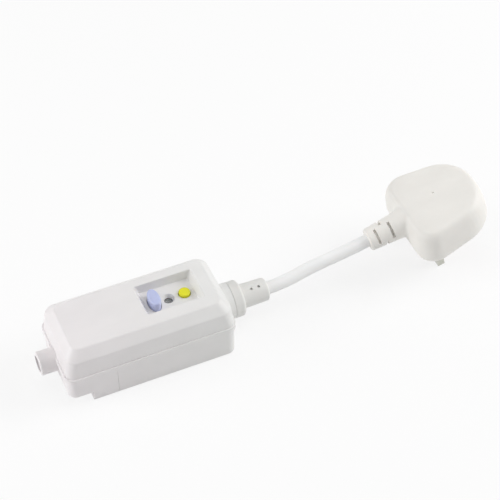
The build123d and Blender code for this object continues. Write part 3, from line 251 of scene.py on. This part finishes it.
def moulded(name, colour, roughness=0.38, cloud=0.02, grain=0.0004, grain_depth=0.000006, flow=0.00001,
            subsurface=0.0, coat=0.0, other_end=None, span=(-0.05, 0.05)):
    """Moulded plastic: spark-eroded grain, faint flow waves, and colour that drifts a little.

    other_end, where it is given, is the colour that the tint drifts to along X, over span in metres."""
    made, tree, shader = material(name)
    clouds = noise(tree, CLOUD_SIZE, 3.0, (1, 1.6, 1.3))
    tint = ramp(tree, clouds, scaled(colour, 1 - cloud), scaled(colour, 1 + cloud / 2))
    if other_end:
        coords = tree.nodes.new("ShaderNodeTexCoord")
        split = tree.nodes.new("ShaderNodeSeparateXYZ")
        tree.links.new(coords.outputs["Object"], split.inputs["Vector"])
        along = add_node(tree, "ShaderNodeMapRange")
        along.inputs["From Min"].default_value = span[0]
        along.inputs["From Max"].default_value = span[1]
        tree.links.new(split.outputs["X"], along.inputs["Value"])
        far = ramp(tree, clouds, scaled(other_end, 1 - cloud), scaled(other_end, 1 + cloud / 2))
        mix = tree.nodes.new("ShaderNodeMix")
        mix.data_type = "RGBA"
        tree.links.new(along.outputs["Result"], mix.inputs["Factor"])
        tree.links.new(tint, mix.inputs["A"])
        tree.links.new(far, mix.inputs["B"])
        tint = mix.outputs["Result"]
    tree.links.new(tint, shader.inputs["Base Color"])
    sheen = spread(tree, noise(tree, SHEEN_PATCH, 2.0), *(roughness + change for change in PLASTIC_UNEVEN))
    tree.links.new(sheen, shader.inputs["Roughness"])
    waves = noise(tree, FLOW_SIZE, 1.0, (0.6, 1.4, 1))
    bump(tree, [(waves, flow), (noise(tree, grain, 3.0), grain_depth)], shader)
    shader.inputs["IOR"].default_value = PLASTIC_IOR
    shader.inputs["Subsurface Weight"].default_value = subsurface
    shader.inputs["Subsurface Radius"].default_value = PLASTIC_SCATTER
    shader.inputs["Subsurface Scale"].default_value = PLASTIC_SCATTER_DEPTH
    shader.inputs["Coat Weight"].default_value = coat
    shader.inputs["Coat Roughness"].default_value = COAT_ROUGHNESS
    return made


def metal(name, colour, roughness=0.28, brushed=(1, 1, 12), grain=0.0005, tarnish=0.08):
    """Worked metal with fine drawn lines and a slightly uneven tone."""
    made, tree, shader = material(name)
    tone = ramp(tree, noise(tree, METAL_PATCH, 3.0), scaled(colour, 1 - tarnish), colour)
    tree.links.new(tone, shader.inputs["Base Color"])
    lines = noise(tree, grain, 2.0, brushed)
    sheen = spread(tree, lines, *(roughness + change for change in METAL_UNEVEN))
    tree.links.new(sheen, shader.inputs["Roughness"])
    bump(tree, [(lines, DRAWN_LINE_DEPTH)], shader)
    shader.inputs["Metallic"].default_value = 1.0
    return made


def wound(name, colour, pitch, axis):
    """Enamelled wire laid side by side: ridges across the axis at the wire's pitch, with painted shade
    darkening the grooves between turns.
    """
    made, tree, shader = material(name)
    coords = tree.nodes.new("ShaderNodeTexCoord")
    wave = add_node(tree, "ShaderNodeTexWave", Scale=math.pi / (10 * pitch), Distortion=0.0)
    wave.wave_type = "BANDS"
    wave.bands_direction = axis
    wave.wave_profile = "SIN"
    tree.links.new(coords.outputs["Object"], wave.inputs["Vector"])
    # Painted shade: the colour darkens towards the grooves between the wire's turns, where the bump sinks.
    tone = ramp(tree, wave.outputs["Fac"], scaled(colour, WIRE_GROOVE_PAINTED_SHADE), colour, 0.1, 0.7)
    tree.links.new(tone, shader.inputs["Base Color"])
    bump(tree, [(wave.outputs["Fac"], pitch / 3)], shader)
    shader.inputs["Metallic"].default_value = WIRE_METAL
    shader.inputs["Roughness"].default_value = WIRE_ROUGHNESS
    return made


def clear(name, colour):
    """Clear moulded plastic, a little milky."""
    made, tree, shader = material(name)
    tint = ramp(tree, noise(tree, 0.003), scaled(colour, CLEAR_UNEVEN), colour)
    tree.links.new(tint, shader.inputs["Base Color"])
    tree.links.new(spread(tree, noise(tree, 0.002), *CLEAR_ROUGHNESS), shader.inputs["Roughness"])
    shader.inputs["Transmission Weight"].default_value = CLEAR_SHARE
    shader.inputs["IOR"].default_value = CLEAR_IOR
    return made


BOX_LEFT = (0.835, 0.80, 0.808)
BOX_RIGHT = (0.81, 0.81, 0.795)
PLUG_TONE = (0.86, 0.84, 0.80)

casing_finish = moulded("casing_plastic", BOX_LEFT, 0.42, other_end=BOX_RIGHT, subsurface=0.05)
plug_finish = moulded("plug_plastic", PLUG_TONE, 0.46, cloud=0.025, subsurface=0.08, grain=0.0006)
relief_finish = moulded("relief_pvc", (0.80, 0.795, 0.77), 0.5, subsurface=0.08)
flex_finish = moulded("flex_pvc", (0.92, 0.92, 0.915), 0.36, grain=0.0009, subsurface=0.1, flow=0.00003)
reset_finish = moulded("reset_blue", (0.515, 0.56, 0.80), 0.34, cloud=0.05, subsurface=0.4, coat=0.1)
test_finish = moulded("test_yellow", (0.79, 0.77, 0.003), 0.34, cloud=0.04, coat=0.2)
flag_finish = moulded("flag_black", (0.11, 0.11, 0.115), 0.4, cloud=0.2)
patch_finish = moulded("flag_red", (0.62, 0.03, 0.02), 0.4, cloud=0.06)
frame_finish = moulded("frame_grey", (0.33, 0.34, 0.36), 0.5, cloud=0.05)
carrier_finish = moulded("carrier_dark", (0.05, 0.05, 0.055), 0.45, cloud=0.1)
holder_finish = moulded("fuse_holder_red", (0.50, 0.05, 0.04), 0.45, cloud=0.05)
sleeve_finish = moulded("pin_sleeve_black", (0.02, 0.02, 0.022), 0.45, cloud=0.1)
board_finish = moulded("board_green", (0.02, 0.16, 0.06), 0.35, cloud=0.12, grain=0.0012)
chip_finish = moulded("component_black", (0.02, 0.02, 0.022), 0.5, cloud=0.1)
varistor_finish = moulded("component_blue", (0.03, 0.13, 0.40), 0.3, cloud=0.1)
resistor_finish = moulded("component_tan", (0.55, 0.42, 0.24), 0.4, cloud=0.08)
ceramic_finish = moulded("fuse_ceramic", (0.78, 0.74, 0.66), 0.25, cloud=0.04, coat=0.5)
brown_finish = moulded("core_brown", (0.12, 0.045, 0.02), 0.4, cloud=0.05)
blue_finish = moulded("core_blue", (0.02, 0.08, 0.42), 0.4, cloud=0.05)
green_finish = moulded("core_green", (0.22, 0.45, 0.04), 0.4, cloud=0.05)
ferrite_finish = moulded("ferrite", (0.03, 0.03, 0.033), 0.55, cloud=0.15, grain=0.0003)
brass_finish = metal("brass", (0.80, 0.60, 0.28))
plated_finish = metal("nickel_plated", (0.60, 0.60, 0.54), 0.3, brushed=(1, 1, 6))
steel_finish = metal("zinc_steel", (0.60, 0.61, 0.63), 0.32)
wire_finish = metal("spring_steel", (0.45, 0.46, 0.48), 0.25)
copper_finish = wound("copper_winding", (0.70, 0.33, 0.14), 0.0004, "Z")
toroid_finish = wound("toroid_winding", (0.70, 0.33, 0.14), 0.0006, "Y")
window_finish = clear("window_clear", (0.95, 0.97, 0.97))

finishes = {
    "base_tray": casing_finish,
    "top_cover": casing_finish,
    "terminal_cover": casing_finish,
    "casing_screws": steel_finish,
    "terminal_cover_screws": steel_finish,
    "reset_button": reset_finish,
    "test_button": test_finish,
    "test_contact_tip": brass_finish,
    "test_contact_rivet": brass_finish,
    "indicator_window": window_finish,
    "indicator_flag": flag_finish,
    "flag_patch": patch_finish,
    "fixed_contacts": brass_finish,
    "moving_contacts": brass_finish,
    "line_busbar": brass_finish,
    "neutral_busbar": brass_finish,
    "reset_spring": wire_finish,
    "test_spring": wire_finish,
    "carrier_spring": wire_finish,
    "plunger_spring": wire_finish,
    "contact_carrier": carrier_finish,
    "mechanism_frame": frame_finish,
    "trip_bobbin": frame_finish,
    "trip_coil": copper_finish,
    "trip_yoke": steel_finish,
    "trip_plunger": steel_finish,
    "latch_lever": steel_finish,
    "latch_pin": steel_finish,
    "circuit_board": board_finish,
    "sense_core": ferrite_finish,
    "sense_winding": toroid_finish,
    "test_resistor": resistor_finish,
    "varistor": varistor_finish,
    "capacitor": chip_finish,
    "control_chip": chip_finish,
    "rectifier_diodes": chip_finish,
    "terminals": brass_finish,
    "terminal_screws": steel_finish,
    "inlet_clamp_bar": frame_finish,
    "outlet_clamp_bar": frame_finish,
    "clamp_screws": steel_finish,
    "line_conductor": brown_finish,
    "neutral_conductor": blue_finish,
    "earth_conductor": green_finish,
    "supply_strain_relief": relief_finish,
    "flex_sheath_tail": flex_finish,
    "supply_flex": flex_finish,
    "plug_body": plug_finish,
    "plug_pin_bridge": plug_finish,
    "line_pin": plated_finish,
    "neutral_pin": plated_finish,
    "earth_pin": plated_finish,
    "pin_sleeves": sleeve_finish,
    "fuse_carrier": holder_finish,
    "cartridge_fuse": ceramic_finish,
    "fuse_clips": brass_finish,
    "plug_conductors": brown_finish,
    "plug_strain_relief": plug_finish,
    "plug_flex_tail": flex_finish,
}


def dress_nodes():
    for name, finish in finishes.items():
        nodes[name].data.materials.clear()
        nodes[name].data.materials.append(finish)


# Free flex. Its route's points are those of the CAD tube, in metres.

FLEX_DIAMETER = 0.0070
PLUG_PLACE = Vector((0.1779, 0.0033, 0.020195))
PLUG_TILT = math.radians(13.946)
PLUG_RELIEF_AXIS = 0.0141
PLUG_RELIEF_END = -0.044
PLUG_U = Vector((math.cos(PLUG_TILT), 0, math.sin(PLUG_TILT)))
PLUG_V = Vector((0, 1, 0))
PLUG_W = Vector((-math.sin(PLUG_TILT), 0, math.cos(PLUG_TILT)))


def in_plug(u, v, w):
    """A point of the plug's own frame, whose w runs out of the back from the pins' face."""
    return PLUG_PLACE + u * PLUG_U + v * PLUG_V + w * PLUG_W


FLEX_START = Vector((0.0710, 0, 0.0158))
FLEX_LEAD_OUT = Vector((0.0099, 0, 0))
FLEX_LEAD_IN = 0.012
FLEX_CURVE_STEPS = 24
FLEX_ROUND_STEPS = 10
flex_route = [FLEX_START,
              FLEX_START + FLEX_LEAD_OUT,
              Vector((0.099, 0.0026, 0.018)),
              in_plug(PLUG_RELIEF_END - FLEX_LEAD_IN, 0, PLUG_RELIEF_AXIS),
              in_plug(PLUG_RELIEF_END, 0, PLUG_RELIEF_AXIS)]


def add_flex(plug_skin):
    curve = bpy.data.curves.new("flex", "CURVE")
    curve.dimensions = "3D"
    spline = curve.splines.new("NURBS")
    spline.points.add(len(flex_route) - 1)
    for point, place in zip(spline.points, flex_route):
        point.co = (*place, 1)
    spline.order_u = 3
    spline.use_endpoint_u = True
    spline.resolution_u = FLEX_CURVE_STEPS
    curve.bevel_depth = FLEX_DIAMETER / 2
    curve.bevel_resolution = FLEX_ROUND_STEPS
    curve.use_fill_caps = True
    curve.materials.append(flex_finish)
    flex = bpy.data.objects.new("flex", curve)
    bpy.context.scene.collection.objects.link(flex)
    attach(flex, "box")
    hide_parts("supply_flex")


# Plug skin: a pillow-like body that swells from the pins' face and runs into the neck in one valley.
# Millimetres of the plug's frame.

CORD_SIDE = 24.0
EARTH_SIDE = 23.1
CORD_HALF_WIDTH = 28.0
EARTH_HALF_WIDTH = 20.8
CORD_CORNER = 9.8
EARTH_CORNER = 20.2
DEPTH = 22.9
WIDEST = 7.0
FACE_INSET = 5.45
BACK_ROUND = 11.0
BACK_DRAFT = 0.3
BACK_INSET = 4.6
CROWN = 0.4
CROWN_REACH = 10.0
NECK_AXIS = 14.1
NECK_START = -30.0
NECK_TRIM = -28.5
NECK_END = -16.0
NECK_RADII = (7.1, 8.6)
VALLEY_U = -24.0
VALLEY_RADIUS = 7.8
VALLEY_REACH = 6.0
VOXEL = 0.55
POCKET_INSET = 7.0
POCKET_DEPTH = 17.5
BORE_RADIUS = 3.55
DIMPLE_PLACE = (-1.9, 2.0)
DIMPLE_RADIUS = 0.55
DIMPLE_RINGS = ((0.5, -0.7), (1.0, -0.25), (1.3, 0.5))
DIMPLE_STEPS = 16
FACE_STEPS = 8
BACK_STEPS = 12
CROWN_STEPS = 6
EVEN_ROUNDS = 3
FAIR_ROUNDS = 30
PLASTIC_CREASE = 40
OUTSIDE = 2.0


def rounded_outline(corners, radii, steps=10):
    """Points round a polygon whose corners are arcs of the given radii."""
    made = []
    for k, (corner, radius) in enumerate(zip(corners, radii)):
        here = Vector(corner)
        back = (Vector(corners[k - 1]) - here).normalized()
        on = (Vector(corners[(k + 1) % len(corners)]) - here).normalized()
        half = back.angle(on) / 2
        centre = here + (back + on).normalized() * (radius / math.sin(half))
        first = here + back * (radius / math.tan(half)) - centre
        last = here + on * (radius / math.tan(half)) - centre
        turn = math.atan2(first.x * last.y - first.y * last.x, first.dot(last))
        for step in range(steps + 1):
            angle = math.atan2(first.y, first.x) + turn * step / steps
            made.append((centre.x + radius * math.cos(angle), centre.y + radius * math.sin(angle)))
    return made


def plug_outline(inset, cord_share=0.3, earth_share=0.3):
    """The plug seen from its back, drawn in by inset, of which the corners' radii lose those shares."""
    cord, earth = CORD_SIDE - inset, EARTH_SIDE - inset
    wide, narrow = CORD_HALF_WIDTH - inset, EARTH_HALF_WIDTH - inset
    cord_corner = CORD_CORNER - cord_share * inset
    earth_corner = EARTH_CORNER - earth_share * inset
    return rounded_outline([(-cord, -wide), (earth, -narrow), (earth, narrow), (-cord, wide)],
                           [cord_corner, earth_corner, earth_corner, cord_corner])


def closed_loft(name, rings, place=in_plug):
    """A closed mesh through rings of equal count.

    They are in millimetres of the frame whose points, in metres, place turns into the model's."""
    mesh = bpy.data.meshes.new(name)
    shape = bmesh.new()
    rows = [[shape.verts.new(place(*(c * MM for c in point))) for point in ring] for ring in rings]
    count = len(rows[0])
    for low, high in zip(rows, rows[1:]):
        for k in range(count):
            after = (k + 1) % count
            shape.faces.new((low[k], low[after], high[after], high[k]))
    shape.faces.new(list(reversed(rows[0])))
    shape.faces.new(rows[-1])
    bmesh.ops.recalc_face_normals(shape, faces=shape.faces)
    shape.to_mesh(mesh)
    shape.free()
    made = bpy.data.objects.new(name, mesh)
    bpy.context.scene.collection.objects.link(made)
    return made


def full_turn(steps):
    return [2 * math.pi * k / steps for k in range(steps)]


def neck_rings(stations, steps=48):
    """Rings round the neck's axis, one for each (u, radius)."""
    return [[(u, radius * math.cos(a), NECK_AXIS + radius * math.sin(a)) for a in full_turn(steps)]
            for u, radius in stations]


def applied(piece):
    """Swaps a piece's mesh for what its modifiers make of it."""
    bpy.context.view_layer.update()
    graph = bpy.context.evaluated_depsgraph_get()
    mesh = bpy.data.meshes.new_from_object(piece.evaluated_get(graph))
    piece.modifiers.clear()
    piece.data = mesh


def combined(piece, other, operation):
    cut = piece.modifiers.new("cut", "BOOLEAN")
    cut.object = other
    cut.operation = operation
    cut.solver = "EXACT"
    applied(piece)
    bpy.data.objects.remove(other)


def quarter_turn(steps):
    return [math.pi / 2 * k / steps for k in range(steps + 1)]


def body_rings():
    """Rings from the pins' face, out to the widest line, round the back's edge and over its crown."""
    profile = []
    for turn in quarter_turn(FACE_STEPS):
        profile.append((WIDEST * (1 - math.cos(turn)), FACE_INSET * (1 - math.sin(turn))))
    for turn in quarter_turn(BACK_STEPS):
        profile.append((DEPTH - CROWN - BACK_ROUND * (1 - math.sin(turn)),
                        BACK_DRAFT + BACK_INSET * (1 - math.cos(turn))))
    for k in range(1, CROWN_STEPS + 1):
        reach = k / CROWN_STEPS
        profile.append((DEPTH - CROWN * (1 - reach) ** 2,
                        BACK_DRAFT + BACK_INSET + CROWN_REACH * reach))
    return [[(u, v, height) for u, v in plug_outline(inset)] for height, inset in profile]


def smooth_valley(piece):
    """Fairs the skin where the neck runs into the body, and leaves the rest alone."""
    group = piece.vertex_groups.new(name="valley")
    for vertex in piece.data.vertices:
        place = (vertex.co - PLUG_PLACE) / MM
        u = place.dot(PLUG_U) - VALLEY_U
        across = math.hypot(place.dot(PLUG_V), place.dot(PLUG_W) - NECK_AXIS) - VALLEY_RADIUS
        nearness = 1 - math.hypot(u, across) / VALLEY_REACH
        if nearness > 0 and place.dot(PLUG_U) > NECK_START + VOXEL:
            group.add([vertex.index], min(1.0, 2 * nearness), "REPLACE")
    fair = piece.modifiers.new("fair", "SMOOTH")
    fair.factor = 0.5
    fair.iterations = FAIR_ROUNDS
    fair.vertex_group = "valley"
    applied(piece)
    piece.vertex_groups.clear()


def crease(mesh, degrees):
    """Shades a mesh smooth but for the edges that turn by more than that."""
    shape = bmesh.new()
    shape.from_mesh(mesh)
    for face in shape.faces:
        face.smooth = True
    for edge in shape.edges:
        edge.smooth = len(edge.link_faces) == 2 and edge.calc_face_angle() < math.radians(degrees)
    shape.to_mesh(mesh)
    shape.free()


def add_plug_skin():
    """The body with its neck, made one skin, then opened for the pins' bridge and the flex."""
    skin = closed_loft("plug_skin", body_rings())
    neck = closed_loft("plug_neck", neck_rings(zip((NECK_START, NECK_END), NECK_RADII)))
    combined(skin, neck, "UNION")
    remesh = skin.modifiers.new("remesh", "REMESH")
    remesh.mode = "VOXEL"
    remesh.voxel_size = VOXEL * MM
    even = skin.modifiers.new("even", "SMOOTH")
    even.factor = 0.5
    even.iterations = EVEN_ROUNDS
    applied(skin)
    smooth_valley(skin)
    pocket_outline = plug_outline(POCKET_INSET, 0.5, 1.0)
    pocket = closed_loft("pocket", [[(u, v, w) for u, v in pocket_outline]
                                    for w in (-OUTSIDE, POCKET_DEPTH)])
    combined(skin, pocket, "DIFFERENCE")
    bore = closed_loft("bore", neck_rings([(NECK_START - OUTSIDE, NECK_RADII[1]),
                                           (NECK_TRIM, NECK_RADII[1]),
                                           (NECK_TRIM, BORE_RADIUS),
                                           (NECK_END + OUTSIDE, BORE_RADIUS)]))
    combined(skin, bore, "DIFFERENCE")
    u, v = DIMPLE_PLACE
    dimple = closed_loft("dimple", [[(u + share * DIMPLE_RADIUS * math.cos(a),
                                      v + share * DIMPLE_RADIUS * math.sin(a), DEPTH + rise)
                                     for a in full_turn(DIMPLE_STEPS)]
                                    for share, rise in DIMPLE_RINGS])
    combined(skin, dimple, "DIFFERENCE")
    crease(skin.data, PLASTIC_CREASE)
    skin.data.materials.clear()
    skin.data.materials.append(plug_finish)
    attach(skin, "box")
    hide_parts("plug_body")
    return skin


# Reset button: a long oval with a rolled edge and a faint hollow for the finger. Millimetres.

RESET_PLACE = (9.4, 1.2)
RESET_HALF = (3.1, 5.8)
RESET_FOOT = 27.8
RESET_STOP = 29.2
RESET_EDGE = 1.1
RESET_HOLLOW = 0.14
RESET_STEM = 1.9
RESET_EAR_HALF = 2.0
RESET_EAR_REACH = 1.5
RESET_STEPS = 72
EDGE_STEPS = 8
HOLLOW_STEPS = 8


def in_box(x, y, z):
    return Vector((x, y, z))


def oval(half_x, half_y, height):
    return [(RESET_PLACE[0] + half_x * math.cos(a), RESET_PLACE[1] + half_y * math.sin(a), height)
            for a in full_turn(RESET_STEPS)]


def reset_rings(top):
    """Rings from the button's foot, over its rolled edge and down into its hollow."""
    rings = [oval(*RESET_HALF, RESET_FOOT)]
    for turn in quarter_turn(EDGE_STEPS):
        inset = RESET_EDGE * (1 - math.cos(turn))
        rings.append(oval(RESET_HALF[0] - inset, RESET_HALF[1] - inset,
                          top - RESET_EDGE * (1 - math.sin(turn))))
    flat = [half - RESET_EDGE for half in RESET_HALF]
    for k in range(HOLLOW_STEPS - 1, 0, -1):
        share = k / HOLLOW_STEPS
        rings.append(oval(flat[0] * share, flat[1] * share,
                          top - RESET_HOLLOW * (1 - share ** 2) ** 2))
    return rings


def add_reset_skin():
    low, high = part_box("reset_button")
    skin = closed_loft("reset_skin", reset_rings(high[2] / MM), in_box)
    x, y = RESET_PLACE
    reach = RESET_HALF[1] + RESET_EAR_REACH
    corners = [(-RESET_EAR_HALF, -reach), (RESET_EAR_HALF, -reach), (RESET_EAR_HALF, reach),
               (-RESET_EAR_HALF, reach)]
    ears = closed_loft("ears", [[(x + across, y + along, height) for across, along in corners]
                                for height in (RESET_FOOT, RESET_STOP)], in_box)
    combined(skin, ears, "UNION")
    stem = closed_loft("stem", [oval(RESET_STEM, RESET_STEM, height)
                                for height in (low[2] / MM, RESET_STOP)], in_box)
    combined(skin, stem, "UNION")
    crease(skin.data, PLASTIC_CREASE)
    skin.data.materials.clear()
    skin.data.materials.append(reset_finish)
    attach(skin, "reset")
    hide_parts("reset_button")


# Springs: helices, each filling the box of its spring in the model. Millimetres.

SPRING_WIRE = 0.6
SPRING_STEPS = 28
WIRE_STEPS = 12
WIRE_CREASE = 60
spring_turns = {"reset_spring": 3.5, "test_spring": 3.5, "carrier_spring": 5.5,
                "plunger_spring": 2.5}


def spring_rings(low, high, turns):
    """Rings round the wire, from the spring's foot to its head, in millimetres."""
    centre_x, centre_y = ((low[k] + high[k]) / 2 / MM for k in (0, 1))
    radius = (high[0] - low[0]) / 2 / MM - SPRING_WIRE / 2
    foot = low[2] / MM + SPRING_WIRE / 2
    rise = (high[2] - low[2]) / MM - SPRING_WIRE
    count = round(turns * SPRING_STEPS)
    rings = []
    for k in range(count + 1):
        turn = 2 * math.pi * turns * k / count
        out = Vector((math.cos(turn), math.sin(turn), 0))
        along = Vector((-radius * math.sin(turn), radius * math.cos(turn), rise / (2 * math.pi * turns)))
        across = along.normalized().cross(out)
        middle = Vector((centre_x, centre_y, foot + rise * k / count)) + radius * out
        rings.append([middle + SPRING_WIRE / 2 * (math.cos(a) * out + math.sin(a) * across)
                      for a in full_turn(WIRE_STEPS)])
    return rings


def add_spring_skins():
    for node, turns in spring_turns.items():
        low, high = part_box(node)
        skin = closed_loft(node + "_skin", spring_rings(low, high, turns), in_box)
        crease(skin.data, WIRE_CREASE)
        skin.data.materials.append(wire_finish)
        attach(skin, "box")
        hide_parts(node)
        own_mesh(skin)


dress_nodes()
add_flex(add_plug_skin())
add_reset_skin()
add_spring_skins()
add_floor()
add_world()
for name, values in softboxes.items():
    add_softbox(name, *values)
add_camera()
bpy.context.scene.view_settings.view_transform = "Standard"

bpy.context.view_layer.update()
